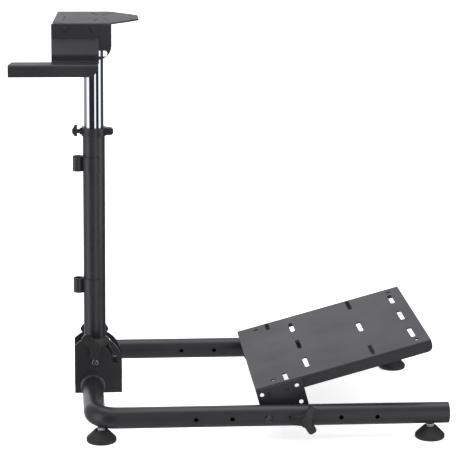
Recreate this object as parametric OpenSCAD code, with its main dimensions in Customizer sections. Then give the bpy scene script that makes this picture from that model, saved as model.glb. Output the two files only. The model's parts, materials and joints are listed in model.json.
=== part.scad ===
/* [Base tube] */
// Outside diameter of the bent base tube
base_od = 40; // [30:0.5:46]
// Wall of the base tube
base_wall = 2; // [1.5:0.1:3]
// Distance between the centre lines of the two side tubes
side_gap = 440; // [400:5:520]
// Length of the side tubes, from the centre of the cross tube to the open end
base_len = 662; // [600:5:800]
// Bend radius at the two corners, on the centre line
bend_r = 42; // [40:1:70]
// Height of the tube's centre line over the floor
tube_z = 49; // [45:1:60]
// First through hole of a side tube, from the cross tube
hole_x = 187; // [150:1:210]
// Pitch of the through holes
hole_pitch = 68; // [60:1:75]
// Diameter of the through holes
hole_d = 8.5; // [8:0.1:10]

/* [Feet] */
// Diameter of a foot pad
pad_d = 56; // [45:1:70]
// Diameter of the levelling stud
stud_d = 8; // [6:1:10]
// Distance of the front feet from the cross tube
foot_x = 631; // [560:1:640]

/* [Folding hinge] */
// Place of the column's centre line, ahead of the cross tube
hinge_x = 5; // [0:1:10]
// Height of the pivot
pivot_z = 98; // [94:1:104]
// Thickness of a cheek plate
cheek_t = 5; // [4:0.5:6]
// Radius of a cheek plate's top about the pivot
cheek_r = 52; // [50:1:60]
// Gap between a cheek plate and the column
cheek_gap = 1.2; // [0.8:0.1:2]
// Diameter of the pivot bolt
pivot_d = 10; // [8:1:12]
// Distance from the pivot to the lock bolt
lock_r = 39; // [37:0.5:42]
// Diameter of the lock bolt
lock_d = 8; // [6:1:10]
// Width of the curved slot
slot_w = 9.5; // [9:0.5:11]

/* [Column] */
// Outside diameter of the lower tube
post_od = 42.4; // [40:0.5:50]
// Wall of the lower tube
post_wall = 2.1; // [1.5:0.1:3]
// Height of the lower tube's top end over the floor
post_top = 556; // [450:5:600]
// Gap all round between the chrome tube and the lower tube
slide_gap = 0.1; // [0.05:0.01:0.2]
// Wall of the chrome tube
chrome_wall = 2; // [1.5:0.1:3]
// Length of the chrome tube inside the lower tube
chrome_in = 226; // [180:2:240]

/* [Wheel head] */
// Height of the wheel plate's top over the floor
deck_z = 768; // [720:1:800]
// Width of the wheel plate, across the cheeks
deck_w = 174; // [150:2:260]
// Sheet thickness of the head and the shifter bracket
sheet = 3; // [2:0.5:4]
// Amount by which the head's rear edge runs forward, from the near cheek to the far one
rear_skew = 11; // [0:1:20]
// Outside radius of the bends between the wheel plate and its cheeks
head_bend = 6; // [4:0.5:12]
// Diameter of the small holes in the wheel plate
wheel_hole_d = 6.5; // [5:0.1:8]
// Depth of the head's side cheeks, from the top of the plate
head_drop = 68; // [60:1:90]
// Reach of the shifter shelf towards the driver, from the cross tube
shelf_reach = 153; // [120:1:200]
// Depth of the shifter shelf
shelf_d = 46; // [40:1:80]

/* [Pedal deck] */
// Length of the pedal deck
pedal_l = 344; // [300:2:360]
// Slope of the pedal deck
pedal_slope = 15.66; // [12:0.1:18]
// Gap between the pedal deck's side brackets and the side tubes
pedal_gap = 2.4; // [2:0.1:6]
// Sheet thickness of the pedal deck
pedal_t = 2.5; // [2:0.5:4]
// Thickness of a side bracket
ear_t = 3; // [2:0.5:4]
// Depth of the pedal deck's side flanges
flange_h = 22; // [18:1:24]
// Outside radius of the pedal deck's bends
deck_bend = 4.5; // [3:0.5:8]
// Length of the pedal slots
pedal_slot_l = 58; // [30:1:60]
// Length of the two outer slots nearest the driver
edge_slot_l = 43; // [20:1:44]
// Width of the pedal slots
pedal_slot_w = 8.5; // [6:0.5:10]

// Angle that the pedal deck can be steepened by
tilt_up = 8; // [2:0.5:8]
// Angle that the pedal deck can be flattened by
tilt_down = 4; // [1:0.5:4]

/* [Knobs] */
// Radius of a large three-arm knob
knob_r = 29; // [24:1:32]
// Radius of the small collar knob
small_knob_r = 12.5; // [11:0.5:18]

/* [Cable clips] */
// Height of a clip
clip_h = 29; // [15:1:40]
// Inner radius of its cable loop
loop_r = 8; // [5:0.5:12]
// Thickness of the clip's wall
clip_t = 2; // [1.5:0.1:3]

/* [Hidden] */
$fn = 48;
eps = 0.5;
bend_steps = 8;

base_r = base_od / 2;
side_y = side_gap / 2;
corner_x = bend_r * (1 - cos(45));
corner_y = side_y - corner_x;
tube_bottom = tube_z - base_r;
pad_r = pad_d / 2;
foot_h = 24;
nut_z = 20;
stud_z = 8;
stud_nut = stud_d * 1.6;
cap_rim = 3;
origin_x = (base_len + cap_rim - shelf_reach) / 2;

post_r = post_od / 2;
chrome_r = post_r - post_wall - slide_gap;
cheek_y = post_r + cheek_gap;
cheek_left = -34.5;
cheek_bottom = 36;
lock_z = pivot_z + lock_r;
pivot_head_d = 1.5 * pivot_d;
pivot_head_h = 0.5 * pivot_d;
washer_d = 2 * lock_d;
washer_t = 2;
play = 0.3;
knob_h = knob_r * 0.7;
knob_turn = -95;
knob_gap = 0.2;
slot_nip = 0.04;
post_end_r = post_r + 0.4;
collar_h = 16;
collar_t = 2.5;
collar_z = post_top - collar_h + 2;
tab_r = 6.8;
tab_x = post_r + 9.5;
tab_z = post_top - 6;
tab_gap = 2;
tab_y = 8;
tab_bolt_d = 5;
tab_nut_h = 3.5;
boss_l = 6;
boss_d = 13;
collar_screw_d = 5;
small_knob_h = 14;
jaw_x = post_r * 0.68;
clip_up_z = post_top - 83;
clip_low_z = pivot_z + 0.295 * (post_top - pivot_z);

head_y = deck_w / 2;
head_left = -76.5;
head_right = 32;
deck_right = 84.4;
bracket_left = -79;
bracket_l = 87;
bracket_top = deck_z - 1;
bracket_drop = 30;
bracket_bend = 2.5;
bracket_out = 25;
bolt_xs = [-54, -4];
bolt_drop = 11;
bolt_d = 6;
bolt_nut_af = 10;
bolt_nut_h = 5;
lip_h = 22;
shelf_z = deck_z - head_drop + 1;
shelf_y = -head_y - bracket_out;
shelf_back = shelf_y - sheet - bracket_bend - eps;
shelf_front = shelf_y - shelf_d + sheet;
shelf_right = 6;
shelf_taper = 8;
wheel_holes = [[20, 28], [70, 28]];
plate_holes = [[1, 49.5, 6], [7, 32, 6], [27, 43, 6], [-56, 36, 6], [-53, 8, 6]];
head_bottom = deck_z - head_drop;

deck_slots = [
    [108, 0, pedal_slot_l], [108, 118, pedal_slot_l], [233.5, 0, pedal_slot_l],
    [233.5, 155, pedal_slot_l], [318, 0, pedal_slot_l], [318, 118, pedal_slot_l],
    [62, 167, edge_slot_l]
];
deck_holes = [[38, 167], [320, 167]];

pedal_y = side_y - base_r - pedal_gap;
pedal_pivot_x = hole_x + 2 * hole_pitch;
pedal_knob_x = hole_x + 3 * hole_pitch;
clamp_washer_t = 1.5;
ear_u = 9.5;
ear_v = 46.5;
ear_l = 90;
ear_hole_v = 13.5;
screw_d = 5;
screw_us = [23, 57];
screw_v = 14;

// Moves what is drawn from the cross tube to the part's own frame
module place() {
    translate([-origin_x, 0, 0]) children();
}

// Rod along Y, from y0 to y1
module rod_y(d, y0, y1) {
    translate([0, y0, 0])
        rotate([-90, 0, 0])
            cylinder(d = d, h = y1 - y0);
}

// Plate in the X-Z plane, from y0 to y1, from a flat outline
module plate_y(y0, y1) {
    translate([0, y1, 0])
        rotate([90, 0, 0])
            linear_extrude(y1 - y0)
                children();
}

// Hexagon head or nut along Y, from y0 to y1
module hex_y(af, y0, y1) {
    translate([0, y0, 0])
        rotate([-90, 0, 0])
            cylinder(d = af / cos(30), h = y1 - y0, $fn = 6);
}

// Outline of a slot with round ends
module slot_2d(l, w) {
    square([l - w, w], center = true);
    for (s = [-1, 1])
        translate([s * (l - w) / 2, 0])
            circle(d = w);
}

// Outline of a three-arm knob with blunt, chamfered arms
module star_2d(r) {
    w = r * 0.28;
    cut = r * 0.12;
    circle(r = r * 0.44);
    for (a = [0:120:240])
        rotate(a)
            polygon([
                [0, -w * 1.1], [r - cut, -w], [r, cut - w], [r, w - cut], [r - cut, w],
                [0, w * 1.1]
            ]);
}

// Three-arm knob along +Z, on its seat at z = 0, with arms that slope down from the hub
module star_knob(r, h, bore) {
    seat = h * 0.3;
    hub = r * 0.34;
    difference() {
        intersection() {
            linear_extrude(h)
                star_2d(r);
            rotate_extrude()
                polygon([
                    [0, 0], [hub, 0], [hub, seat], [r + 2, seat], [r + 2, h * 0.62],
                    [r * 0.78, h * 0.72], [r * 0.3, h], [0, h]
                ]);
        }
        translate([0, 0, -eps])
            cylinder(d = bore, h = h * 0.62 + eps);
    }
}

// Outline of an inverted channel with rounded bends, w to each side and h down from z = 0
module channel_2d(w, h, t, r) {
    difference() {
        channel_fill_2d(w, h, r);
        translate([0, -t])
            channel_fill_2d(w - t, h, r - t);
    }
}

module channel_fill_2d(w, h, r) {
    translate([r - w, -h])
        square([2 * (w - r), h]);
    translate([-w, -h])
        square([2 * w, h - r]);
    for (s = [-1, 1])
        translate([s * (w - r), -r])
            circle(r = r);
}

// Extrudes an outline in y and z along X, from x0 to x1
module along_x(x0, x1) {
    translate([x0, 0, 0])
        rotate([90, 0, 90])
            linear_extrude(x1 - x0)
                children();
}

// Solid core of the bent base tube
module base_core(r) {
    translate([0, -side_y + bend_r, tube_z])
        rotate([-90, 0, 0])
            cylinder(r = r, h = side_gap - 2 * bend_r);
    for (s = [-1, 1])
        translate([bend_r, s * (side_y - bend_r), tube_z]) {
            rotate([0, 0, s > 0 ? 90 : 180])
                rotate_extrude(angle = 90)
                    translate([bend_r, 0])
                        circle(r = r);
            translate([0, s * bend_r, 0])
                rotate([0, 90, 0])
                    cylinder(r = r, h = base_len - bend_r);
        }
}

module base_tube() {
    color("#2b2c2e") place() difference() {
        base_core(base_r);
        base_core(base_r - base_wall);
        for (s = [-1, 1])
            translate([base_len - eps, s * side_y, tube_z])
                rotate([0, 90, 0])
                    cylinder(r = base_r - base_wall, h = 2 * eps);
        for (s = [-1, 1], i = [0:5])
            translate([hole_x + i * hole_pitch, s * side_y, tube_z])
                rod_y(hole_d, -base_od, base_od);
        for (p = foot_places())
            translate([p[0], p[1], 0])
                cylinder(d = stud_d, h = tube_z);
    }
}

function foot_places() = [
    for (s = [-1, 1]) [corner_x, s * corner_y],
    for (s = [-1, 1]) [foot_x, s * side_y]
];

module end_caps() {
    color("#1c1c1d") place() for (s = [-1, 1])
        translate([base_len, s * side_y, tube_z])
            rotate([0, 90, 0]) {
                cylinder(r = base_r, h = cap_rim);
                translate([0, 0, -14])
                    cylinder(r = base_r - base_wall, h = 14);
            }
}

module foot_pad(i) {
    p = foot_places()[i];
    color("#1a1a1b") place() translate([p[0], p[1], 0])
        difference() {
            rotate_extrude()
                polygon([
                    [0, 0], [pad_r - 2, 0], [pad_r, 2], [pad_r, 7], [pad_r - 1.5, 9.5],
                    [14, 22], [12, foot_h], [10, foot_h], [10, nut_z], [0, nut_z]
                ]);
            translate([0, 0, stud_z])
                cylinder(d = stud_d, h = foot_h);
        }
}

module foot_near_left() { foot_pad(0); }
module foot_far_left() { foot_pad(1); }
module foot_near_right() { foot_pad(2); }
module foot_far_right() { foot_pad(3); }

module foot_studs() {
    color("#b9bbbe") place() for (p = foot_places())
        translate([p[0], p[1], stud_z]) {
            cylinder(d = stud_d, h = tube_bottom);
            translate([0, 0, nut_z - stud_z])
                cylinder(d = stud_nut / cos(30), h = stud_nut / 2, $fn = 6);
        }
}

// Outline of a cheek plate in x and z
module cheek_2d() {
    difference() {
        intersection() {
            union() {
                translate([hinge_x, pivot_z])
                    circle(r = cheek_r, $fn = 96);
                translate([hinge_x - cheek_r, cheek_bottom])
                    square([2 * cheek_r, pivot_z - cheek_bottom]);
            }
            translate([cheek_left, cheek_bottom])
                square([2 * cheek_r, 3 * cheek_r]);
        }
        translate([0, tube_z])
            circle(r = base_r);
        translate([hinge_x, pivot_z]) {
            circle(d = pivot_d);
            slot_arc_2d(lock_r, slot_w, 0, 90);
        }
    }
}

// Curved slot about the origin, between two angles
module slot_arc_2d(r, w, a0, a1) {
    far = r * 2;
    intersection() {
        difference() {
            circle(r = r + w / 2, $fn = 96);
            circle(r = r - w / 2, $fn = 96);
        }
        polygon([
            [0, 0],
            for (a = [a0:(a1 - a0) / 4:a1 + 0.01]) [far * cos(a), far * sin(a)]
        ]);
    }
    for (a = [a0, a1])
        rotate(a)
            translate([r, 0])
                circle(d = w - slot_nip);
}

module hinge_cheek_near() {
    color("#2b2c2e") place() plate_y(-cheek_y - cheek_t, -cheek_y) cheek_2d();
}

module hinge_cheek_far() {
    color("#2b2c2e") place() plate_y(cheek_y, cheek_y + cheek_t) cheek_2d();
}

module hinge_welds() {
    bead = 5;
    color("#313234") place() for (s = [-1, 1])
        translate([0, s * (cheek_y + cheek_t), tube_z])
            rotate([s > 0 ? -90 : 90, 0, 0])
                rotate_extrude()
                    polygon([
                        [base_r, 0], [base_r + bead, 0], [base_r + bead * 0.45, bead * 0.45],
                        [base_r, bead]
                    ]);
}

module pivot_bolt() {
    y = cheek_y + cheek_t;
    color("#c4c6c9") place() translate([hinge_x, 0, pivot_z]) {
        rod_y(pivot_d, -y, y + pivot_head_h + 1);
        rod_y(pivot_head_d, -y - pivot_head_h, -y);
        hex_y(0.95 * pivot_head_d, y, y + pivot_head_h);
    }
}

module post_tube() {
    color("#2b2c2e") place() translate([hinge_x, 0, 0]) difference() {
        translate([0, 0, pivot_z - post_end_r])
            cylinder(r = post_r, h = post_top - pivot_z + post_end_r);
        translate([0, 0, pivot_z - post_end_r - eps])
            cylinder(r = post_r - post_wall, h = post_top);
        difference() {
            translate([-post_od, -post_od, pivot_z - post_od])
                cube([2 * post_od, 2 * post_od, post_od]);
            translate([0, 0, pivot_z])
                rod_y(2 * post_end_r, -post_od * 2, post_od * 2);
        }
        translate([0, 0, pivot_z])
            rod_y(pivot_d + 4, -post_od, post_od);
        translate([0, 0, lock_z])
            rod_y(lock_d, -post_od, post_od);
    }
}

module pivot_sleeve() {
    color("#9a9c9f") place() translate([hinge_x, 0, pivot_z])
        difference() {
            rod_y(pivot_d + 4, -post_r, post_r);
            rod_y(pivot_d + 0.1, -post_od, post_od);
        }
}

module lock_bolt() {
    y = cheek_y + cheek_t + 1;
    reach = y + washer_t + 0.5 * knob_h;
    color("#b9bbbe") place() translate([hinge_x, 0, lock_z]) {
        rod_y(lock_d, -reach, reach);
        rod_y(washer_d, -y - washer_t, -y);
        rod_y(washer_d, y, y + washer_t);
    }
}

module lock_knob(s) {
    y = cheek_y + cheek_t + 1 + washer_t + knob_gap;
    color("#1a1a1b") place() translate([hinge_x, s * y, lock_z])
        rotate([s > 0 ? -90 : 90, 0, 0])
            rotate(s > 0 ? 90 : knob_turn)
                star_knob(knob_r, knob_h, lock_d + 0.1);
}

module lock_knob_near() { lock_knob(-1); }
module lock_knob_far() { lock_knob(1); }

// Split clamp ring on the lower tube's top end, with a screw boss and two tabs
module collar() {
    color("#232425") place() translate([hinge_x, 0, 0]) difference() {
        union() {
            translate([0, 0, collar_z])
                cylinder(r = post_r + collar_t, h = collar_h);
            translate([-post_r - boss_l, 0, tab_z])
                rotate([0, 90, 0])
                    cylinder(d = boss_d, h = boss_l + post_wall);
            plate_y(-tab_y, tab_y) tab_2d();
        }
        translate([0, 0, post_top - collar_h])
            cylinder(r = post_r, h = collar_h);
        translate([0, 0, post_top - eps])
            cylinder(r = chrome_r + play, h = collar_h);
        translate([chrome_r, -tab_gap / 2, collar_z - eps])
            cube([2 * tab_x, tab_gap, collar_h + 2 * eps]);
        translate([tab_x, 0, tab_z])
            rod_y(tab_bolt_d, -post_od, post_od);
        translate([-post_r - boss_l - eps, 0, tab_z])
            rotate([0, 90, 0])
                cylinder(d = collar_screw_d, h = post_r);
    }
}

// Outline of the collar's tabs in x and z
module tab_2d() {
    translate([tab_x, tab_z])
        circle(r = tab_r);
    translate([post_r - 1, tab_z - tab_r])
        square([tab_x - post_r + 1, 2 * tab_r]);
}

module collar_bolt() {
    color("#b9bbbe") place() translate([hinge_x, 0, 0]) {
        translate([tab_x, 0, tab_z]) {
            rod_y(tab_bolt_d, -tab_y, tab_y + tab_nut_h + 1);
            rod_y(1.7 * tab_bolt_d, -tab_y - tab_nut_h, -tab_y);
            hex_y(1.6 * tab_bolt_d, tab_y, tab_y + tab_nut_h);
        }
        translate([-post_r - boss_l - 0.35 * small_knob_h, 0, tab_z])
            rotate([0, 90, 0])
                cylinder(d = collar_screw_d, h = boss_l + 0.35 * small_knob_h - slide_gap);
    }
}

module collar_knob() {
    color("#1a1a1b") place() translate([hinge_x - post_r - boss_l - knob_gap, 0, tab_z])
        rotate([0, -90, 0])
            star_knob(small_knob_r, small_knob_h, collar_screw_d + 0.1);
}

// Spring clip with a cable loop on the driver's side, at height z
module cable_clip(z) {
    loop_x = -post_r - loop_r - clip_t + 0.6;
    color("#1f2021") place() translate([hinge_x, 0, z]) {
        intersection() {
            linear_extrude(clip_h)
                difference() {
                    circle(r = post_r + clip_t);
                    circle(r = post_r);
                }
            plate_y(-post_od, post_od) clip_side_2d();
        }
        linear_extrude(clip_h)
            difference() {
                translate([loop_x, 0])
                    circle(r = loop_r + clip_t);
                circle(r = post_r);
                translate([loop_x, 0])
                    circle(r = loop_r);
            }
    }
}

// Outline of the clip's arms in x and z, with rounded ends
module clip_side_2d() {
    r = 6;
    translate([-post_od, 0])
        square([post_od + jaw_x - r, clip_h]);
    translate([-post_od, r])
        square([post_od + jaw_x, clip_h - 2 * r]);
    for (z = [r, clip_h - r])
        translate([jaw_x - r, z])
            circle(r = r);
}

module clip_upper() { cable_clip(clip_up_z); }
module clip_lower() { cable_clip(clip_low_z); }

module chrome_tube() {
    color("#dfe1e4") place() translate([hinge_x, 0, post_top - chrome_in])
        difference() {
            cylinder(r = chrome_r, h = deck_z - sheet - post_top + chrome_in);
            translate([0, 0, -eps])
                cylinder(r = chrome_r - chrome_wall, h = deck_z);
        }
}

// Outline of the wheel plate ahead of its cheeks, seen from above
module plate_tip_2d() {
    flat_y = head_y - head_bend;
    polygon([
        [head_right - 1, -flat_y], [head_right + 4, -flat_y + 2], [head_right + 30, -53],
        [deck_right - 3, -31], [deck_right, -27], [deck_right, 27], [deck_right - 3, 31],
        [head_right + 30, 53], [head_right + 4, flat_y - 2], [head_right - 1, flat_y]
    ]);
}

// Outline of the head seen from the side, with the slot in its cheeks
module head_side_2d() {
    r = 26;
    difference() {
        union() {
            translate([head_left, head_bottom + r])
                square([head_right - head_left, head_drop - r]);
            translate([head_left, head_bottom])
                square([head_right - head_left - r, head_drop]);
            translate([head_right - r, head_bottom + r])
                circle(r = r);
        }
        translate([-8, head_bottom + 11.5])
            slot_2d(64, 11);
    }
}

// Bent wheel plate with its two cheeks
module wheel_head() {
    color("#303134") place() translate([hinge_x, 0, 0]) difference() {
        union() {
            intersection() {
                along_x(head_left, head_right)
                    translate([0, deck_z])
                        channel_2d(head_y, head_drop, sheet, head_bend);
                plate_y(-head_y - eps, head_y + eps) head_side_2d();
            }
            translate([0, 0, deck_z - sheet])
                linear_extrude(sheet)
                    plate_tip_2d();
        }
        for (p = wheel_holes, s = [-1, 1])
            translate([p[0], s * p[1], deck_z - 2 * sheet])
                cylinder(d = wheel_hole_d, h = 3 * sheet);
        for (p = plate_holes, s = [-1, 1])
            translate([p[0], s * p[1], deck_z - 2 * sheet])
                cylinder(d = p[2], h = 3 * sheet);
        for (x = bolt_xs)
            translate([x, -head_y, deck_z - bolt_drop])
                rod_y(bolt_d, -eps, 2 * sheet);
        translate([0, 0, head_bottom - eps])
            linear_extrude(head_drop + 2 * eps)
                polygon([
                    [head_left - eps, -head_y], [head_left + rear_skew, head_y + eps],
                    [head_left - eps, head_y + eps]
                ]);
    }
}

// Outline of a bent sheet, t thick to the right of a path of corner points, with inside
// radius r at each bend
module bent_sheet_2d(path, t, r) {
    last = len(path) - 1;
    side = [
        for (i = [0:last])
            let (
                d0 = unit(path[max(i, 1)] - path[max(i, 1) - 1]),
                d1 = unit(path[min(i, last - 1) + 1] - path[min(i, last - 1)])
            )
            path[i] - t * (left_of(d0) + left_of(d1)) / (1 + d0 * d1)
    ];
    outer = round_path(side, r + t, r);
    polygon(concat(round_path(path, r, r + t), [for (i = [len(outer) - 1:-1:0]) outer[i]]));
}

function unit(v) = v / norm(v);
function left_of(v) = [-v[1], v[0]];

// Path with its corners rounded, to radius rl where it turns left and rr where it turns right
function round_path(path, rl, rr) = [
    path[0],
    for (i = [1:len(path) - 2]) each round_corner(path[i - 1], path[i], path[i + 1], rl, rr),
    path[len(path) - 1]
];

function round_corner(p, q, s, rl, rr) =
    let (
        d0 = unit(q - p),
        d1 = unit(s - q),
        turn = sign(cross(d0, d1)),
        r = turn > 0 ? rl : rr,
        angle = acos(d0 * d1),
        centre = q - d0 * r * tan(angle / 2) + turn * r * left_of(d0),
        spoke = -turn * left_of(d0),
        start = atan2(spoke[1], spoke[0])
    )
    [
        for (i = [0:bend_steps])
            let (a = start + turn * angle * i / bend_steps)
            centre + r * [cos(a), sin(a)]
    ];

// Corner points of the shifter bracket's inner side in y and z, from the head to the shelf
function bracket_path() = [
    [-head_y, bracket_top], [-head_y, deck_z - bracket_drop], [shelf_y, head_bottom + 12],
    [shelf_y, shelf_z - sheet], [shelf_back - 1, shelf_z - sheet]
];

// Corner points of the wide shelf and its lip, clear of the bend at the shelf's back
function shelf_path() = [
    [shelf_back, shelf_z - sheet], [shelf_front, shelf_z - sheet],
    [shelf_front, shelf_z - lip_h]
];

// Outlines of the shelf seen from the driver's right and from above
module shelf_side_2d() {
    x0 = -shelf_reach - hinge_x;
    z = shelf_z;
    polygon([
        [x0, z - lip_h], [shelf_right - 10, z - lip_h], [shelf_right - 2, z - 10],
        [shelf_right, z - 6], [shelf_right, z + eps], [x0, z + eps]
    ]);
}

module shelf_top_2d() {
    x0 = -shelf_reach - hinge_x;
    y0 = shelf_y - shelf_d - eps;
    polygon([
        [x0, y0], [shelf_right, y0], [shelf_right, shelf_y], [x0 + shelf_taper, shelf_y],
        [x0, y0 + 6]
    ]);
}

// Bent bracket with the shifter shelf and its lip
module shifter_bracket() {
    color("#303134") place() translate([hinge_x, 0, 0]) difference() {
        union() {
            along_x(bracket_left, bracket_left + bracket_l)
                bent_sheet_2d(bracket_path(), sheet, bracket_bend);
            intersection() {
                along_x(-shelf_reach - hinge_x, shelf_right)
                    bent_sheet_2d(shelf_path(), sheet, bracket_bend);
                plate_y(shelf_y - shelf_d - eps, shelf_y) shelf_side_2d();
                translate([0, 0, shelf_z - lip_h - eps])
                    linear_extrude(lip_h + 2 * eps)
                        shelf_top_2d();
            }
        }
        for (x = bolt_xs)
            translate([x, -head_y, deck_z - bolt_drop])
                rod_y(bolt_d, -2 * sheet, eps);
    }
}

module shifter_bolts() {
    color("#1f2021") place() translate([hinge_x, 0, deck_z - bolt_drop]) for (x = bolt_xs)
        translate([x, -head_y, 0]) {
            rod_y(bolt_d, -sheet, sheet + bolt_nut_h);
            rod_y(1.75 * bolt_d, -sheet - 0.5 * bolt_d, -sheet);
            hex_y(bolt_nut_af, sheet, sheet + bolt_nut_h);
        }
}

// Moves a piece drawn on the pedal deck, u along it and z up from its top, to its slope
module on_pedals() {
    translate([pedal_pivot_x, 0, tube_z])
        rotate([0, -pedal_slope, 0])
            translate([-ear_u, 0, ear_v])
                children();
}

// Outline of a pedal deck flange in u and z
module flange_2d() {
    r = 12;
    translate([0, -flange_h + r])
        square([pedal_l, flange_h - r]);
    translate([0, -flange_h])
        square([pedal_l - r, r + eps]);
    translate([pedal_l - r, -flange_h + r])
        circle(r = r);
}

// Bent sheet deck with its slots
module pedal_deck() {
    y = pedal_y - ear_t;
    color("#3a3b3e") place() on_pedals() difference() {
        intersection() {
            along_x(0, pedal_l)
                channel_2d(y, flange_h, pedal_t, deck_bend);
            plate_y(-y - eps, y + eps) flange_2d();
        }
        for (p = deck_slots, s = p[1] > 0 ? [-1, 1] : [1])
            translate([p[0], s * p[1], -2 * pedal_t])
                linear_extrude(3 * pedal_t)
                    rotate(90)
                        slot_2d(p[2], pedal_slot_w);
        for (p = deck_holes, s = [-1, 1])
            translate([p[0], s * p[1], -2 * pedal_t])
                cylinder(d = pedal_slot_w + 1, h = 3 * pedal_t);
        for (u = screw_us)
            translate([u, 0, -screw_v])
                rod_y(screw_d, -side_y, side_y);
        for (u = [ear_u, ear_u + hole_pitch])
            translate([u, 0, -ear_hole_v])
                rod_y(hole_d, -side_y, side_y);
    }
}

// Outline of a side bracket in u and z, with its holes and the curved angle slot
module ear_2d() {
    difference() {
        polygon([
            [0, -2], [ear_l, -2], [ear_l, -66], [ear_l - 6, -80], [ear_l - 14, -84],
            [ear_l - 30, -84], [0, -62]
        ]);
        translate([ear_u, -ear_v])
            circle(d = pivot_d);
        for (u = [ear_u, ear_u + hole_pitch])
            translate([u, -ear_hole_v])
                circle(d = hole_d);
        translate([ear_u + hole_pitch, -ear_v])
            circle(d = hole_d);
        for (u = screw_us)
            translate([u, -screw_v])
                circle(d = screw_d);
        translate([ear_u, -ear_v])
            slot_arc_2d(hole_pitch, slot_w, -pedal_slope - tilt_up, -pedal_slope + tilt_down);
    }
}

module pedal_ear_near() {
    color("#2b2c2e") place() on_pedals() plate_y(-pedal_y, -pedal_y + ear_t) ear_2d();
}

module pedal_ear_far() {
    color("#2b2c2e") place() on_pedals() plate_y(pedal_y - ear_t, pedal_y) ear_2d();
}

module ear_screws() {
    color("#8f9194") place() on_pedals() for (s = [-1, 1], u = screw_us)
        translate([u, s * pedal_y, -screw_v])
            if (s > 0) {
                rod_y(screw_d, -ear_t - pedal_t - 2, 0);
                rod_y(1.6 * screw_d, 0, 0.3 * screw_d);
            } else {
                rod_y(screw_d, 0, ear_t + pedal_t + 2);
                rod_y(1.6 * screw_d, -0.3 * screw_d, 0);
            }
}

// Pivot bolt through a side tube, with the head outside and the side bracket inside
module pedal_pivot(s) {
    y = base_r + pedal_gap;
    color("#b9bbbe") place() translate([pedal_pivot_x, s * side_y, tube_z])
        mirror([0, s > 0 ? 1 : 0, 0]) {
            rod_y(hole_d - play, -base_r, y - play);
            rod_y(14, -base_r - 4, -base_r);
            rod_y(washer_d, base_r, y - play);
            rod_y(pivot_d - 0.1, y - play, y + ear_t + play);
            hex_y(15, y + ear_t + play, y + ear_t + 6);
        }
}

// Clamp bolt in the side bracket's curved slot, with the knob's thread outside
module pedal_clamp(s) {
    y = base_r + pedal_gap;
    color("#b9bbbe") place() translate([pedal_knob_x, s * side_y, tube_z])
        mirror([0, s > 0 ? 1 : 0, 0]) {
            rod_y(lock_d, -base_r - 0.7 * knob_h, y + ear_t + play);
            rod_y(washer_d, base_r, y - play);
            rod_y(20, y + ear_t + play, y + ear_t + 3);
            rod_y(18, -base_r - clamp_washer_t, -base_r);
        }
}

module pedal_clamp_near() { pedal_clamp(-1); }
module pedal_clamp_far() { pedal_clamp(1); }

module pedal_pivot_near() { pedal_pivot(-1); }
module pedal_pivot_far() { pedal_pivot(1); }

module pedal_knob(s) {
    color("#1a1a1b") place() translate([pedal_knob_x, s * side_y, tube_z])
        mirror([0, s > 0 ? 1 : 0, 0])
            translate([0, -base_r - clamp_washer_t - knob_gap, 0])
                rotate([90, 0, 0])
                    rotate(180)
                        star_knob(knob_r, knob_h, lock_d + 0.1);
}

module pedal_knob_near() { pedal_knob(-1); }
module pedal_knob_far() { pedal_knob(1); }

base_tube();
end_caps();
foot_near_left();
foot_far_left();
foot_near_right();
foot_far_right();
foot_studs();
hinge_cheek_near();
hinge_cheek_far();
hinge_welds();
pivot_bolt();
post_tube();
pivot_sleeve();
lock_bolt();
lock_knob_near();
lock_knob_far();
collar();
collar_bolt();
collar_knob();
clip_upper();
clip_lower();
chrome_tube();
wheel_head();
shifter_bracket();
shifter_bolts();
pedal_deck();
pedal_ear_near();
pedal_ear_far();
ear_screws();
pedal_pivot_near();
pedal_pivot_far();
pedal_clamp_near();
pedal_clamp_far();
pedal_knob_near();
pedal_knob_far();
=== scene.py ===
import json
import math
import bpy
from mathutils import Matrix, Vector

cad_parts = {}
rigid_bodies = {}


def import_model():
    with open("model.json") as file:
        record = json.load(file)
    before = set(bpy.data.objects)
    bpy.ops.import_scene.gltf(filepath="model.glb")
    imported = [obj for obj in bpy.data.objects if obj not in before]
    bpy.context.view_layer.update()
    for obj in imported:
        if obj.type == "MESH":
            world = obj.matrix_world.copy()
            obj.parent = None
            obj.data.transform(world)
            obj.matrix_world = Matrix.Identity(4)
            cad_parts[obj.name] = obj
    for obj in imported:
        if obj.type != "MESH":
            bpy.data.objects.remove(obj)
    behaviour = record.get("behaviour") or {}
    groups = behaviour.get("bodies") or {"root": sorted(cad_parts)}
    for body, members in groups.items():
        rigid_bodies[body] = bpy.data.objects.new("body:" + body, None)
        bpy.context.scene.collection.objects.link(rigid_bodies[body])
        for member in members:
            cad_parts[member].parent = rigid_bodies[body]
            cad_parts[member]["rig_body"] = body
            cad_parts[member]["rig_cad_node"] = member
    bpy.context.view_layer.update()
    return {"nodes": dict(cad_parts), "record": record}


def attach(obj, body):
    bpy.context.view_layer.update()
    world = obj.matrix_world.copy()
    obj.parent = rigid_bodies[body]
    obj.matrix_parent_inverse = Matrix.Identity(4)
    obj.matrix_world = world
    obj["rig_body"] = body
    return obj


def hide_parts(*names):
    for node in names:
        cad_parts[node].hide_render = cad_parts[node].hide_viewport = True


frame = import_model()
nodes = frame["nodes"]
mm = 0.001      # pieces are set in millimetres, camera and stage in metres

print("frame loaded:", len(nodes), "nodes")


cameraSet = {
    "place": (-0.32325, -3.77936, 1.26724),
    "yaw": 0.08785,      # radians, towards the pedals
    "pitch": 0.23588,    # downwards
    "roll": 0.01051,
    "focal": 2012.5,     # in pixels, for the picture width below
    "picture": 458,
    "sensor": 36.0,
    "reach": 100,
}


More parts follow.
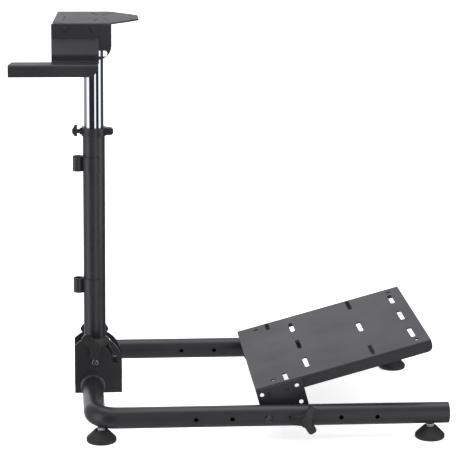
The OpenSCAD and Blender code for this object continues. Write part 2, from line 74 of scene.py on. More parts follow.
def makeCamera(s):
    data = bpy.data.cameras.new("photoCamera")
    data.sensor_width = s["sensor"]
    data.lens = s["focal"] * s["sensor"] / s["picture"]
    data.dof.use_dof = False
    data.clip_end = s["reach"]
    cam = bpy.data.objects.new("photoCamera", data)
    bpy.context.scene.collection.objects.link(cam)
    ahead = Vector((math.sin(s["yaw"]) * math.cos(s["pitch"]),
                    math.cos(s["yaw"]) * math.cos(s["pitch"]), -math.sin(s["pitch"])))
    level = Vector((math.cos(s["yaw"]), -math.sin(s["yaw"]), 0))
    up = level.cross(ahead)
    rolledLevel = level * math.cos(s["roll"]) + up * math.sin(s["roll"])
    rolledUp = up * math.cos(s["roll"]) - level * math.sin(s["roll"])
    axes = Matrix((rolledLevel, rolledUp, -ahead)).transposed().to_4x4()
    cam.matrix_world = Matrix.Translation(s["place"]) @ axes
    bpy.context.scene.camera = cam


makeCamera(cameraSet)


def node(tree, kind, at=(0, 0), **values):
    made = tree.nodes.new(kind)
    made.location = at
    for key, value in values.items():
        setattr(made, key, value)
    return made


def setInputs(made, **values):
    for key, value in values.items():
        made.inputs[key.replace("_", " ")].default_value = value


def newGroup(name, ins, outs):
    tree = bpy.data.node_groups.new(name, "ShaderNodeTree")
    for label, kind, value in ins:
        made = tree.interface.new_socket(label, in_out="INPUT", socket_type=kind)
        if value is not None:
            made.default_value = value
    for label, kind in outs:
        tree.interface.new_socket(label, in_out="OUTPUT", socket_type=kind)
    return tree, node(tree, "NodeGroupInput", (-900, 0)), node(tree, "NodeGroupOutput", (900, 0))


def mathNode(tree, operation, a, b, at=(0, 0), clamp=False):
    made = node(tree, "ShaderNodeMath", at, operation=operation, use_clamp=clamp)
    for index, value in enumerate((a, b)):
        if isinstance(value, (int, float)):
            made.inputs[index].default_value = value
        else:
            tree.links.new(value, made.inputs[index])
    return made.outputs[0]


# Mix of two colours; this node's sockets are found by number, as their names repeat
def mixColor(tree, factor, a, b, at=(0, 0), blend="MIX"):
    made = node(tree, "ShaderNodeMix", at, data_type="RGBA", blend_type=blend)
    for index, value in ((0, factor), (6, a), (7, b)):
        if isinstance(value, (int, float)):
            value = value if index == 0 else (value, value, value, 1)
            made.inputs[index].default_value = value
        elif isinstance(value, tuple):
            made.inputs[index].default_value = (*value[:3], 1)
        else:
            tree.links.new(value, made.inputs[index])
    return made.outputs[2]


# Orange peel of a powder coat or fine grain of a moulding, as a height and a soft blotch mask
def makeGrainGroup():
    tree, ins, outs = newGroup("surfaceGrain", [
        ("Vector", "NodeSocketVector", None), ("Grain Scale", "NodeSocketFloat", 900.0),
        ("Blotch Scale", "NodeSocketFloat", 14.0), ("Blotch Detail", "NodeSocketFloat", 4.0),
    ], [("Height", "NodeSocketFloat"), ("Blotch", "NodeSocketFloat")])
    fine = node(tree, "ShaderNodeTexNoise", (-500, 200))
    setInputs(fine, Detail=3.0, Roughness=0.55)
    coarse = node(tree, "ShaderNodeTexNoise", (-500, -100))
    setInputs(coarse, Roughness=0.6)
    ramp = node(tree, "ShaderNodeMapRange", (-200, -100))
    setInputs(ramp, From_Min=0.35, From_Max=0.68)
    link = tree.links.new
    link(ins.outputs["Vector"], fine.inputs["Vector"])
    link(ins.outputs["Grain Scale"], fine.inputs["Scale"])
    link(ins.outputs["Vector"], coarse.inputs["Vector"])
    link(ins.outputs["Blotch Scale"], coarse.inputs["Scale"])
    link(ins.outputs["Blotch Detail"], coarse.inputs["Detail"])
    link(coarse.outputs[0], ramp.inputs["Value"])
    link(fine.outputs[0], outs.inputs["Height"])
    link(ramp.outputs[0], outs.inputs["Blotch"])
    return tree


# Thin dust on what faces upwards
def makeDustGroup():
    tree, ins, outs = newGroup("dustFall", [
        ("Vector", "NodeSocketVector", None), ("Amount", "NodeSocketFloat", 0.3),
        ("Scale", "NodeSocketFloat", 60.0),
    ], [("Mask", "NodeSocketFloat")])
    link = tree.links.new
    geometry = node(tree, "ShaderNodeNewGeometry", (-700, 200))
    split = node(tree, "ShaderNodeSeparateXYZ", (-500, 200))
    link(geometry.outputs["Normal"], split.inputs[0])
    upward = node(tree, "ShaderNodeMapRange", (-300, 200))
    setInputs(upward, From_Min=0.55, From_Max=1.0)
    link(split.outputs["Z"], upward.inputs["Value"])
    specks = node(tree, "ShaderNodeTexNoise", (-500, -100))
    setInputs(specks, Detail=8.0, Roughness=0.75)
    link(ins.outputs["Vector"], specks.inputs["Vector"])
    link(ins.outputs["Scale"], specks.inputs["Scale"])
    spread = node(tree, "ShaderNodeMapRange", (-300, -100))
    setInputs(spread, From_Min=0.4, From_Max=0.75)
    link(specks.outputs[0], spread.inputs["Value"])
    both = mathNode(tree, "MULTIPLY", upward.outputs[0], spread.outputs[0], (0, 100))
    link(mathNode(tree, "MULTIPLY", both, ins.outputs["Amount"], (200, 100)), outs.inputs["Mask"])
    return tree


grainGroup = makeGrainGroup()
dustGroup = makeDustGroup()


# One material of a painted, plated or moulded finish
def makeFinish(name, s):
    mat = bpy.data.materials.new(name)
    mat.use_nodes = True
    tree = mat.node_tree
    link = tree.links.new
    shader = tree.nodes["Principled BSDF"]
    coords = node(tree, "ShaderNodeTexCoord", (-1500, 0))
    place = node(tree, "ShaderNodeMapping", (-1300, 0))
    place.inputs["Scale"].default_value = s["stretch"]
    link(coords.outputs["Object"], place.inputs["Vector"])

    grain = node(tree, "ShaderNodeGroup", (-1000, 200), node_tree=grainGroup)
    setInputs(grain, Grain_Scale=s["grainScale"], Blotch_Scale=s["blotchScale"])
    link(place.outputs[0], grain.inputs["Vector"])
    dust = node(tree, "ShaderNodeGroup", (-1000, -200), node_tree=dustGroup)
    setInputs(dust, Amount=s["dust"])
    link(coords.outputs["Object"], dust.inputs["Vector"])

    tone = mixColor(tree, grain.outputs["Blotch"], s["dark"], s["light"], (-600, 300))
    dusty = mixColor(tree, dust.outputs["Mask"], tone, s["dustTone"], (-350, 300))
    link(dusty, shader.inputs["Base Color"])

    rough = node(tree, "ShaderNodeMapRange", (-600, 0))
    setInputs(rough, To_Min=s["rough"][0], To_Max=s["rough"][1])
    link(grain.outputs["Blotch"], rough.inputs["Value"])
    rougher = mathNode(tree, "ADD", rough.outputs[0], dust.outputs["Mask"], (-350, 0), clamp=True)
    link(rougher, shader.inputs["Roughness"])

    bump = node(tree, "ShaderNodeBump", (-350, -300))
    setInputs(bump, Strength=s["bump"], Distance=s["bumpDepth"])
    link(grain.outputs["Height"], bump.inputs["Height"])
    link(bump.outputs[0], shader.inputs["Normal"])
    shader.inputs["Metallic"].default_value = s["metal"]
    shader.inputs["Specular IOR Level"].default_value = s["specular"]
    return mat


# What a finish has where its own settings say nothing, then what paint and plating share
plainFinish = {"stretch": (1, 1, 1), "bumpDepth": 0.0001, "dust": 0.0,
               "dustTone": (0.42, 0.41, 0.39), "metal": 0.0, "specular": 0.5}
painted = {"dark": (0.0125, 0.0125, 0.014), "light": (0.0165, 0.0165, 0.018),
           "grainScale": 900.0, "blotchScale": 9.0, "bump": 0.25, "dust": 0.015}
plated = {"grainScale": 1500.0, "blotchScale": 150.0, "bump": 0.15, "metal": 1.0}

finishes = {
    "blackSteel": {**painted, "rough": (0.29, 0.37), "specular": 0.62},
    "postSteel": {**painted, "rough": (0.36, 0.43), "specular": 0.8},
    "plateSteel": {**painted, "light": (0.0175, 0.0175, 0.019), "rough": (0.36, 0.45),
                   "grainScale": 800.0, "bump": 0.3, "dust": 0.02, "specular": 0.55},
    "chrome": {"dark": (0.72, 0.73, 0.76), "light": (0.82, 0.83, 0.86), "rough": (0.03, 0.07),
               "grainScale": 300.0, "blotchScale": 20.0, "bump": 0.04, "metal": 1.0,
               "stretch": (1, 1, 0.04)},
    "zinc": {**plated, "dark": (0.72, 0.72, 0.73), "light": (0.86, 0.86, 0.85),
             "rough": (0.3, 0.42), "blotchScale": 120.0},
    # A lighter copy of the zinc for the foot studs and nuts: its near-white colour is a painted
    # highlight, standing in for their glints.
    "zincWithPaintedHighlight": {**plated, "dark": (0.82, 0.82, 0.83), "light": (0.93, 0.93, 0.92),
                   "rough": (0.28, 0.4), "blotchScale": 120.0, "metal": 0.4},
    "weldBead": {"dark": (0.016, 0.016, 0.017), "light": (0.026, 0.026, 0.027),
                 "rough": (0.2, 0.28), "grainScale": 260.0, "blotchScale": 40.0,
                 "bump": 0.7, "bumpDepth": 0.0004, "specular": 0.75},
    # Darker copy of the zinc for the column's pivot bolt: its colour is painted shade on the
    # head.
    "zincWithPaintedShade": {**plated, "dark": (0.2, 0.2, 0.205), "light": (0.42, 0.42, 0.42),
                 "rough": (0.2, 0.34)},
    # Still darker copy of the zinc for the pedal pivots: its colour is painted shade on their
    # heads.
    "zincWithDeeperPaintedShade": {**plated, "dark": (0.07, 0.07, 0.072), "light": (0.17, 0.17, 0.17),
                  "rough": (0.2, 0.3)},
    "darkZinc": {**plated, "dark": (0.03, 0.03, 0.032), "light": (0.06, 0.06, 0.062),
                 "rough": (0.3, 0.45), "metal": 0.6},
    "blackPlastic": {"dark": (0.014, 0.014, 0.015), "light": (0.022, 0.022, 0.023),
                     "rough": (0.28, 0.38), "grainScale": 2200.0, "blotchScale": 40.0,
                     "bump": 0.35, "dust": 0.02},
    "blackRubber": {"dark": (0.013, 0.013, 0.014), "light": (0.022, 0.022, 0.022),
                    "rough": (0.5, 0.68), "grainScale": 1200.0, "blotchScale": 50.0,
                    "bump": 0.3, "dust": 0.05},
}
mats = {name: makeFinish(name, {**plainFinish, **s}) for name, s in finishes.items()}
print("camera set, finishes made:", len(mats))

slotFinish = {
    "black_steel": "blackSteel", "plate_steel": "plateSteel", "weld": "weldBead",
    "chrome": "chrome", "zinc": "zinc", "black_zinc": "darkZinc",
    "black_plastic": "blackPlastic", "black_rubber": "blackRubber",
}
nodeFinish = {"post_tube": "postSteel", "clip_upper": "postSteel", "clip_lower": "postSteel"}
slotOf = {part["node"]: part["material_slot"] for part in frame["record"]["subparts"]}
bodyOf = {n: b for b, names in frame["record"]["behaviour"]["bodies"].items() for n in names}


def finishOf(name):
    return nodeFinish.get(name, slotFinish[slotOf[name]])


def dress(obj, finish):
    obj.data.materials.clear()
    obj.data.materials.append(mats[finish])


def deselectAll():
    if bpy.context.object and bpy.context.object.mode != "OBJECT":
        bpy.ops.object.mode_set(mode="OBJECT")
    bpy.ops.object.select_all(action="DESELECT")


def activate(obj):
    deselectAll()
    obj.select_set(True)
    bpy.context.view_layer.objects.active = obj


def applyModifiers(obj):
    activate(obj)
    for mod in list(obj.modifiers):
        bpy.ops.object.modifier_apply(modifier=mod.name)


copySet = {
    "merge": 1e-6,       # metres
    "flat": 0.6,         # degrees, under which two faces are made one
    "corner": 32,        # degrees, from which an edge is rounded
    "smooth": 30,        # degrees, up to which the shading runs over an edge
    "outward": 0.85,     # cosine, over which a face counts as looking outwards
}


# Sinks the faces that look along an axis, so that a rim is left round their outline
def raiseRim(obj, axis, width, depth):
    axis = Vector(axis)
    for face in obj.data.polygons:
        face.select = face.normal.dot(axis) > copySet["outward"]
    bpy.ops.object.mode_set(mode="EDIT")
    bpy.ops.mesh.select_mode(type="FACE")
    bpy.ops.mesh.inset(thickness=width * mm, depth=0, use_boundary=True)
    bpy.ops.transform.translate(value=axis * -depth * mm)
    bpy.ops.object.mode_set(mode="OBJECT")


# Takes a copy of a CAD node, merges its flat faces and rounds its edges a little
def refine(name, piece, width, segments, rim=None):
    source = nodes[name]
    obj = source.copy()
    obj.data = source.data.copy()
    obj.name = piece
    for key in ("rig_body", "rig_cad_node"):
        if key in obj:
            del obj[key]
    obj.parent = None
    bpy.context.scene.collection.objects.link(obj)
    activate(obj)
    bpy.ops.mesh.customdata_custom_splitnormals_clear()
    bpy.ops.object.mode_set(mode="EDIT")
    bpy.ops.mesh.select_all(action="SELECT")
    bpy.ops.mesh.remove_doubles(threshold=copySet["merge"])
    bpy.ops.mesh.dissolve_limited(angle_limit=math.radians(copySet["flat"]))
    bpy.ops.object.mode_set(mode="OBJECT")
    if rim:
        raiseRim(obj, *rim)
    mod = obj.modifiers.new("edges", "BEVEL")
    mod.width = width * mm
    mod.segments = segments
    mod.limit_method = "ANGLE"
    mod.angle_limit = math.radians(copySet["corner"])
    applyModifiers(obj)
    bpy.ops.object.shade_smooth_by_angle(angle=math.radians(copySet["smooth"]))
    mod = obj.modifiers.new("normals", "WEIGHTED_NORMAL")     # keeps the flat faces flat
    mod.keep_sharp = True
    mod.weight = 100
    applyModifiers(obj)
    dress(obj, finishOf(name))
    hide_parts(name)
    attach(obj, bodyOf[name])


# Node: piece name, width of the rounded edge, steps in it
refineSet = {
    "base_tube": ("baseTube", 0.6, 2), "end_caps": ("endCaps", 2.6, 4),
    "hinge_cheek_near": ("hingeCheekNear", 0.7, 2), "hinge_cheek_far": ("hingeCheekFar", 0.7, 2),
    "post_tube": ("postTube", 0.3, 2), "collar": ("clampCollar", 1.0, 3),
    "clip_upper": ("cableClipUpper", 0.5, 2), "clip_lower": ("cableClipLower", 0.5, 2),
    "chrome_tube": ("chromeTube", 0.3, 2), "wheel_head": ("wheelHead", 0.5, 2),
    "shifter_bracket": ("shifterBracket", 0.5, 2), "pedal_deck": ("pedalDeck", 0.5, 2),
    "pedal_ear_near": ("pedalBracketNear", 0.5, 2),
    "pedal_ear_far": ("pedalBracketFar", 0.5, 2),
    "foot_near_left": ("footNearLeft", 1.4, 4), "foot_far_left": ("footFarLeft", 1.4, 4),
    "foot_near_right": ("footNearRight", 1.4, 4), "foot_far_right": ("footFarRight", 1.4, 4),
    "hinge_welds": ("hingeWelds", 1.3, 3), "pivot_sleeve": ("pivotSleeve", 0.4, 2),
}
for name, (piece, width, steps) in refineSet.items():
    refine(name, piece, width, steps)
print("refined pieces:", len(refineSet))


crossTube = 256     # from the cross tube's axis to the frame's own zero


# A place measured along from the cross tube's axis, across from the middle and up from the floor
def spot(x, y, z):
    return Vector((x - crossTube, y, z)) * mm


# Turned solid along +Z from (radius, height) steps, by extruding and scaling a ring
def turned(steps, sides=32):
    deselectAll()
    radius, height = steps[0]
    bpy.ops.mesh.primitive_circle_add(vertices=sides, radius=radius * mm, fill_type="NGON")
    obj = bpy.context.object
    bpy.ops.object.mode_set(mode="EDIT")
    bpy.ops.mesh.select_all(action="SELECT")
    bpy.ops.transform.translate(value=(0, 0, height * mm))
    for nextRadius, nextHeight in steps[1:]:
        rise = (nextHeight - height) * mm
        bpy.ops.mesh.extrude_region_move(TRANSFORM_OT_translate={"value": (0, 0, rise)})
        if nextRadius != radius:
            k = nextRadius / radius
            bpy.ops.transform.resize(value=(k, k, 1), center_override=(0, 0, nextHeight * mm))
        radius, height = nextRadius, nextHeight
    bpy.ops.mesh.select_all(action="SELECT")
    bpy.ops.mesh.normals_make_consistent(inside=False)
    bpy.ops.object.mode_set(mode="OBJECT")
    return obj


# Radius to the corners of a hexagon with a given width across its flats
def hexRadius(across):
    return across / 2 / math.cos(math.pi / 6)


# Cuts a hexagon socket into a head that faces +Z, with its top at the given height
def cutSocket(obj, across, top, depth):
    deselectAll()
    bpy.ops.mesh.primitive_cylinder_add(vertices=6, radius=hexRadius(across) * mm,
                                        depth=2 * depth * mm, location=(0, 0, top * mm))
    cutter = bpy.context.object
    mod = obj.modifiers.new("socket", "BOOLEAN")
    mod.operation = "DIFFERENCE"
    mod.solver = "EXACT"
    mod.object = cutter
    applyModifiers(obj)
    bpy.data.objects.remove(cutter)
    return obj


def joined(parts):
    deselectAll()
    for part in parts:
        part.select_set(True)
    bpy.context.view_layer.objects.active = parts[0]
    bpy.ops.object.join()
    return parts[0]


# Turns a piece that was made along +Z to a direction, and puts its foot at a place
def laid(obj, place, direction, roll=0.0):
    turn = Vector((0, 0, 1)).rotation_difference(Vector(direction)).to_matrix().to_4x4()
    obj.matrix_world = Matrix.Translation(place) @ turn @ Matrix.Rotation(roll, 4, "Z")
    activate(obj)
    bpy.ops.object.transform_apply(location=True, rotation=True, scale=True)
    return obj


def twin(obj):
    copy = obj.copy()
    copy.data = obj.data.copy()
    bpy.context.scene.collection.objects.link(copy)
    return copy


turnedSmooth = 35      # degrees, up to which the shading runs over an edge of a turned piece


# Joins the parts of a piece, names it, gives it its finish and hangs it on its body
def placed(parts, name, finish, slot, body, *replaced):
    obj = joined(parts)
    activate(obj)
    obj.name = name
    bpy.ops.object.shade_smooth_by_angle(angle=math.radians(turnedSmooth))
    dress(obj, finish)
    if replaced:
        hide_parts(*replaced)
    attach(obj, body)


# Steps of a threaded rod between two heights, with a chamfer at both ends
def threadSteps(radius, start, end, pitch=1.25, depth=0.45, chamfer=0.3):
    root = radius - depth
    steps = [(root - chamfer, start)]
    height = start + chamfer
    while height + pitch < end:
        steps += [(root, height), (radius, height + pitch / 2)]
        height += pitch
    steps += [(root, height), (root - chamfer, end)]
    return steps


# Outlines from the seat up, as shares of the radius and of the height
outlines = {
    "button": [(1, 0), (1, 0.22), (0.965, 0.45), (0.87, 0.72), (0.72, 0.92), (0.6, 1)],
    "cap": [(0.95, 0), (1, 0.1), (1, 0.82), (0.93, 1)],
    "nut": [(0.88, 0), (1, 0.14), (1, 0.86), (0.88, 1)],
    "washer": [(0.97, 0), (1, 0.25), (1, 0.75), (0.97, 1)],
}
heads = {"button": (36, 0.62), "cap": (40, 0.6)}    # sides, and the socket's share of the height


def outline(kind, radius, height):
    return [(radius * out, height * up) for out, up in outlines[kind]]


# Screw head along +Z with its seat at 0
def screwHead(kind, width, height, across):
    sides, share = heads[kind]
    head = turned(outline(kind, width / 2, height), sides)
    return cutSocket(head, across, height, height * share)


def washer(width, hole, height):
    rim = outline("washer", width / 2, height)
    return turned([(hole / 2, 0), *rim, (hole / 2, height)], sides=40)


def hexNut(across, height):
    return turned(outline("nut", hexRadius(across), height), sides=6)


# In the sets below a head is (width, height, across its socket), a nut (across, height),
# a washer (width, hole, height) and a thread (pitch, depth)
pivotSet = {
    "place": (5, 98),      # along and up
    "face": 27.4,          # middle to the outside of a cheek
    "head": (15, 5, 6), "headTurn": 0.3,
    "rod": 5.0, "lead": 0.4,
    "nut": (14, 5), "pastNut": 1,
}


def makePivotBolt(s):
    x, z = s["place"]
    near, far = spot(x, -s["face"], z), spot(x, s["face"], z)
    rod, lead = s["rod"], s["lead"]
    shank = [(rod - lead, 0), (rod, lead), (rod, 2 * s["face"])]
    thread = threadSteps(rod, 0, s["nut"][1] + s["pastNut"])
    parts = [laid(screwHead("button", *s["head"]), near, (0, -1, 0), s["headTurn"]),
             laid(turned(shank), near, (0, 1, 0)),
             laid(hexNut(*s["nut"]), far, (0, 1, 0)),
             laid(turned(thread, sides=28), far, (0, 1, 0))]
    # The head takes a darker copy of the zinc, whose colour is painted shade.
    placed(parts, "pivotBolt", "zincWithPaintedShade", "zinc", "base", "pivot_bolt")


lockSet = {
    "place": (5, 137),
    "face": 28.4,          # middle to a washer's seat
    "washer": (16, 8.4, 2),
    "rod": 4.0, "reach": 40.5,      # half of its length
}


def makeLockBolt(s):
    x, z = s["place"]
    thread = threadSteps(s["rod"], 0, 2 * s["reach"])
    parts = [laid(turned(thread, sides=24), spot(x, -s["reach"], z), (0, 1, 0))]
    for side in (-1, 1):
        parts.append(laid(washer(*s["washer"]), spot(x, side * s["face"], z), (0, side, 0)))
    placed(parts, "lockBolt", "zinc", "zinc", "column", "lock_bolt")


collarSet = {
    "place": (35.7, 550),
    "tab": 8.0,            # middle to the outside of a tab
    "head": (8.5, 3.5, 4), "nut": (8, 3.5),
    "rod": 2.5, "pastTab": 4.4, "thread": (0.8, 0.3),
    "screw": {"start": -27.0, "rod": 2.5, "length": 10.8},      # carries the knob
}


def makeCollarBolt(s):
    x, z = s["place"]
    y = s["tab"]
    screw = s["screw"]
    bolt = threadSteps(s["rod"], 0, 2 * y + s["pastTab"], *s["thread"])
    knobScrew = threadSteps(screw["rod"], 0, screw["length"], *s["thread"])
    parts = [laid(screwHead("cap", *s["head"]), spot(x, -y, z), (0, -1, 0)),
             laid(hexNut(*s["nut"]), spot(x, y, z), (0, 1, 0)),
             laid(turned(bolt, sides=20), spot(x, -y, z), (0, 1, 0)),
             laid(turned(knobScrew, sides=20), spot(screw["start"], 0, z), (1, 0, 0))]
    placed(parts, "collarScrews", "darkZinc", "black_zinc", "column", "collar_bolt")


pedalSet = {
    "pivot": 323, "clamp": 391,      # along
    "height": 49,
    "side": 220, "tube": 20,         # middle of a side tube, and half its width
    "gap": 2.4, "bracket": 3,        # tube to bracket, and the bracket's sheet
    "play": 0.3,
    "pivotHead": (14, 4, 6), "headTurn": 0.2, "pivotNut": (15, 5.7),
    "shank": 4.1, "spacer": (16, 8), "bush": (4.9, 4.95),
    "rod": 4.0, "rodOut": 14, "rodIn": 5.6,
    "clampWasher": (18, 8.4, 1.5), "clampSpacer": (16, 8.4),
    "clampCap": [(9.4, 0), (10, 0.5), (10, 1.9), (8.8, 2.7)],
}


def makePedalBolts(s):
    spacer = s["gap"] - s["play"]
    behind = s["gap"] + s["bracket"] + s["play"]
    shank = [(s["shank"], 0), (s["shank"], 2 * s["tube"] + s["gap"])]
    bush = [(s["bush"][0], 0), (s["bush"][1], s["bracket"] + 2 * s["play"])]
    thread = threadSteps(s["rod"], 0, 2 * s["tube"] + s["rodOut"] + s["rodIn"])
    for side, label in ((-1, "near"), (1, "far")):
        def outside(x, depth):
            return spot(x, side * (s["side"] + s["tube"] + depth), s["height"])

        def inside(x, depth):
            return spot(x, side * (s["side"] - s["tube"] - depth), s["height"])

        out, inn = (0, side, 0), (0, -side, 0)
        x = s["pivot"]
        parts = [laid(screwHead("cap", *s["pivotHead"]), outside(x, 0), out, s["headTurn"]),
                 laid(turned(shank, sides=28), outside(x, 0), inn),
                 laid(washer(*s["spacer"], spacer), inside(x, 0), inn),
                 laid(turned(bush, sides=28), inside(x, spacer), inn),
                 laid(hexNut(*s["pivotNut"]), inside(x, behind), inn)]
        # The heads take a still darker copy of the zinc, whose colour is painted shade.
        placed(parts, "pedalPivot" + label.title(), "zincWithDeeperPaintedShade", "zinc", "base",
               "pedal_pivot_" + label)
        x = s["clamp"]
        parts = [laid(turned(thread, sides=24), outside(x, s["rodOut"]), inn),
                 laid(washer(*s["clampWasher"]), outside(x, 0), out),
                 laid(washer(*s["clampSpacer"], spacer), inside(x, 0), inn),
                 laid(turned(s["clampCap"], sides=36), inside(x, behind), inn)]
        placed(parts, "pedalClamp" + label.title(), "zinc", "zinc", "base",
               "pedal_clamp_" + label)


bracketSet = {
    "slope": 15.66,            # degrees
    "pivotAt": (9.5, -46.5),   # pedal pivot, along the deck and square to it
    "holes": (23, 57),         # along the deck
    "under": -14, "side": 197.6,
    "head": (8, 1.5, 3.2), "headTurn": 0.4,
    "rod": 2.5, "length": 7.5, "thread": (0.8, 0.3),
}


# A place given along the deck's slope and square to it, turned about the pedal pivot
def deckSpot(along, y, off):
    slope = math.radians(bracketSet["slope"])
    along, off = along - bracketSet["pivotAt"][0], off - bracketSet["pivotAt"][1]
    return spot(pedalSet["pivot"] + along * math.cos(slope) - off * math.sin(slope), y,
                pedalSet["height"] + along * math.sin(slope) + off * math.cos(slope))


def makeBracketScrews(s):
    thread = threadSteps(s["rod"], -s["length"], 0, *s["thread"])
    model = joined([screwHead("button", *s["head"]), turned(thread, sides=20)])
    parts = []
    for side in (-1, 1):
        for along in s["holes"]:
            parts.append(laid(twin(model), deckSpot(along, side * s["side"], s["under"]),
                              (0, side, 0), s["headTurn"]))
    bpy.data.objects.remove(model)
    placed(parts, "bracketScrews", "darkZinc", "black_zinc", "pedals", "ear_screws")


shifterSet = {
    "bolts": ((-49, 757), (1, 757)),      # along and up
    "face": 90,
    "head": (10.5, 3, 4), "headTurn": 0.2,
    "rod": 3.0, "length": 11, "thread": (1.0, 0.35),
    "nut": (10, 5), "nutAt": 6,           # in from the face
}


def makeShifterBolts(s):
    thread = threadSteps(s["rod"], 0, s["length"], *s["thread"])
    parts = []
    for x, z in s["bolts"]:
        outer, inner = spot(x, -s["face"], z), spot(x, -s["face"] + s["nutAt"], z)
        parts += [laid(screwHead("button", *s["head"]), outer, (0, -1, 0), s["headTurn"]),
                  laid(turned(thread, sides=24), outer, (0, 1, 0)),
                  laid(hexNut(*s["nut"]), inner, (0, 1, 0))]
    placed(parts, "shifterBolts", "darkZinc", "black_zinc", "head", "shifter_bolts")


footSet = {
    "places": ((12.3, -207.7), (12.3, 207.7), (631, -220), (631, 220)),    # along and across
    "rod": 4.0, "low": 8, "high": 37,
    "nut": (12.8, 5.2), "nutAt": 20, "nutTurn": 0.35,
    "insert": {"radius": 7.4, "low": 27.2, "high": 31.5, "chamfer": (1.2, 0.9)},
}


# Threaded studs with their lock nuts, and the dark inserts that they screw into
def makeFootStuds(s):
    insert = s["insert"]
    radius, (across, tall) = insert["radius"], insert["chamfer"]
    thread = threadSteps(s["rod"], 0, s["high"] - s["low"])
    body = [(radius - across, 0), (radius, tall), (radius, insert["high"] - insert["low"])]
    up = (0, 0, 1)
    studs, inserts = [], []
    for x, y in s["places"]:
        studs += [laid(turned(thread, sides=24), spot(x, y, s["low"]), up),
                  laid(hexNut(*s["nut"]), spot(x, y, s["nutAt"]), up, s["nutTurn"])]
        inserts.append(laid(turned(body), spot(x, y, insert["low"]), up))
    # The studs and nuts take a near-white copy of the zinc, whose colour is painted highlight.
    placed(studs, "footStuds", "zincWithPaintedHighlight", "zinc", "base", "foot_studs")
    placed(inserts, "studInserts", "blackPlastic", "black_plastic", "base")


# Node: piece name, outward axis, rounded edge, then the rim's width and how far its face is sunk
knobSet = {
    "lock_knob_near": ("lockKnobNear", (0, -1, 0), 0.5, 1.2, 0.8),
    "lock_knob_far": ("lockKnobFar", (0, 1, 0), 0.5, 1.2, 0.8),
    "collar_knob": ("collarKnob", (-1, 0, 0), 0.3, 0.6, 0.4),
    "pedal_knob_near": ("pedalKnobNear", (0, -1, 0), 0.5, 1.2, 0.8),
    "pedal_knob_far": ("pedalKnobFar", (0, 1, 0), 0.5, 1.2, 0.8),
}
knobSteps = 3
for name, (piece, axis, width, rimWidth, rimDepth) in knobSet.items():
    refine(name, piece, width, knobSteps, (axis, rimWidth, rimDepth))

makePivotBolt(pivotSet)
makeLockBolt(lockSet)
makeCollarBolt(collarSet)
makePedalBolts(pedalSet)
makeBracketScrews(bracketSet)
makeShifterBolts(shifterSet)
makeFootStuds(footSet)
print("fasteners and knobs made")

# CAD nodes that nothing replaces
for name, obj in nodes.items():
    if not obj.hide_render:
        dress(obj, finishOf(name))


stageSet = {
    "floorSize": 80.0,
    "floorTone": (0.9, 0.9, 0.9),
    "floorRough": 0.9,
    "floorGlow": 0.62,      # lifts the shadows, as a lit studio floor does
    "top": {"place": (-0.3, -0.6, 3.4), "aim": (0, 0, 0.2), "size": (3.6, 3.0), "watts": 60},
}


def makeFloor(s):
    deselectAll()
    bpy.ops.mesh.primitive_plane_add(size=s["floorSize"], location=(0, 0, 0))
    floor = bpy.context.object
    floor.name = "paleFloor"
    mat = bpy.data.materials.new("paleFloor")
    mat.use_nodes = True
    shader = mat.node_tree.nodes["Principled BSDF"]
    shader.inputs["Base Color"].default_value = (*s["floorTone"], 1)
    shader.inputs["Roughness"].default_value = s["floorRough"]
    shader.inputs["Specular IOR Level"].default_value = 0.0
    shader.inputs["Emission Color"].default_value = (1, 1, 1, 1)
    shader.inputs["Emission Strength"].default_value = s["floorGlow"]
    floor.data.materials.append(mat)
    floor.visible_glossy = False    # polished pieces reflect the studio's walls instead


def makeLight(name, s):
    data = bpy.data.lights.new(name, "AREA")
    data.shape = "RECTANGLE"
    data.size, data.size_y = s["size"]
    data.energy = s["watts"]
    lamp = bpy.data.objects.new(name, data)
    bpy.context.scene.collection.objects.link(lamp)
    lamp.location = s["place"]
    toward = Vector(s["aim"]) - Vector(s["place"])
    lamp.rotation_euler = toward.to_track_quat("-Z", "Y").to_euler()
    lamp.visible_camera = False
    lamp.visible_glossy = False     # the studio's bands are what shows in the metal


# Walls of the studio as gloss sees them: upright bands of light and dark, each as the azimuth
# where it starts, in degrees from the camera's side, and its brightness
bandSet = {
    "bands": [(-180, 0.93), (-150, 0.45), (-120, 0.33), (-96, 0.5), (-86, 1.3), (-54, 0.03),
              (8, 1.3), (26, 0.02), (58, 1.3), (88, 0.06), (135, 0.25), (158, 0.83)],
    "blur": 2.0,                     # degrees to each side of a start
    "upper": 0.38,                   # ceiling
    "upperFrom": (0.42, 0.62),       # heights between which the walls become ceiling
    "zenith": 1.75,                  # lamp overhead, a little behind the cockpit
    "zenithToward": (0.0, 0.26, 0.966),
    "zenithFrom": (0.87, 0.95),      # cosines from its middle between which it comes up
    "lower": 0.38,                   # floor
    "lowerFrom": (-0.35, -0.6),
    "tint": (0.975, 0.985, 1.04),
    "plain": 1.08,                   # what lights everything softly
}


# Rises smoothly from 0 to 1 between two values
def smoothStep(tree, value, ends, at):
    made = node(tree, "ShaderNodeMapRange", at, interpolation_type="SMOOTHSTEP")
    setInputs(made, From_Min=ends[0], From_Max=ends[1])
    tree.links.new(value, made.inputs["Value"])
    return made.outputs[0]


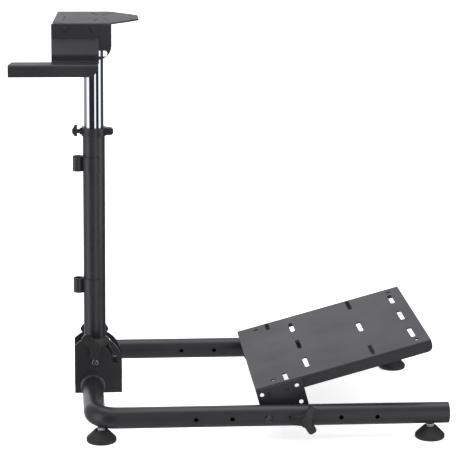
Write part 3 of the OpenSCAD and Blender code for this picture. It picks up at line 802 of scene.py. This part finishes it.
# Colour ramp round the walls, with two stops at each change of band
def makeBands(tree, s):
    ramp = node(tree, "ShaderNodeValToRGB", (-400, 100))
    ramp.color_ramp.interpolation = "LINEAR"
    stops = []
    for index, (start, value) in enumerate(s["bands"]):
        if index:
            stops.append(((start - s["blur"] + 180) / 360, s["bands"][index - 1][1]))
        stops.append(((start + s["blur"] + 180) / 360, value))
    elements = ramp.color_ramp.elements
    while len(elements) > 1:
        elements.remove(elements[-1])
    elements[0].position = 0
    elements[0].color = (stops[0][1], stops[0][1], stops[0][1], 1)
    for position, value in stops[1:]:
        elements.new(position).color = (value, value, value, 1)
    return ramp


def makeWorld(s):
    world = bpy.data.worlds.new("softStudio")
    bpy.context.scene.world = world
    world.use_nodes = True
    tree = world.node_tree
    link = tree.links.new
    shader = tree.nodes["Background"]
    coords = node(tree, "ShaderNodeTexCoord", (-1400, 0))
    split = node(tree, "ShaderNodeSeparateXYZ", (-1200, 0))
    link(coords.outputs["Generated"], split.inputs[0])
    flipped = mathNode(tree, "MULTIPLY", split.outputs["Y"], -1.0, (-1000, 100))
    angle = mathNode(tree, "ARCTAN2", split.outputs["X"], flipped, (-800, 100))
    turn = mathNode(tree, "MULTIPLY_ADD", angle, 0.5 / math.pi, (-600, 100))
    turn.node.inputs[2].default_value = 0.5     # one turn runs from 0 to 1
    walls = makeBands(tree, s)
    link(turn, walls.inputs[0])
    above = smoothStep(tree, split.outputs["Z"], s["upperFrom"], (-600, -200))
    below = smoothStep(tree, split.outputs["Z"], s["lowerFrom"], (-600, -450))
    facing = node(tree, "ShaderNodeVectorMath", (-800, -650), operation="DOT_PRODUCT")
    facing.inputs[1].default_value = s["zenithToward"]
    link(coords.outputs["Generated"], facing.inputs[0])
    overhead = smoothStep(tree, facing.outputs["Value"], s["zenithFrom"], (-600, -650))
    lamps = mixColor(tree, overhead, s["upper"], s["zenith"], (-300, -600))
    ceiling = mixColor(tree, above, walls.outputs[0], lamps, (-100, 0))
    ground = mixColor(tree, below, ceiling, s["lower"], (100, 0))
    tinted = mixColor(tree, 1.0, ground, s["tint"], (250, 200), "MULTIPLY")
    rays = node(tree, "ShaderNodeLightPath", (-100, 400))
    seen = mixColor(tree, rays.outputs["Is Glossy Ray"], s["plain"], tinted, (500, 0))
    link(seen, shader.inputs["Color"])


makeFloor(stageSet)
makeLight("topLight", stageSet["top"])
makeWorld(bandSet)

scene = bpy.context.scene
scene.view_settings.view_transform = "Standard"
scene.view_settings.look = "None"
print("stage ready")
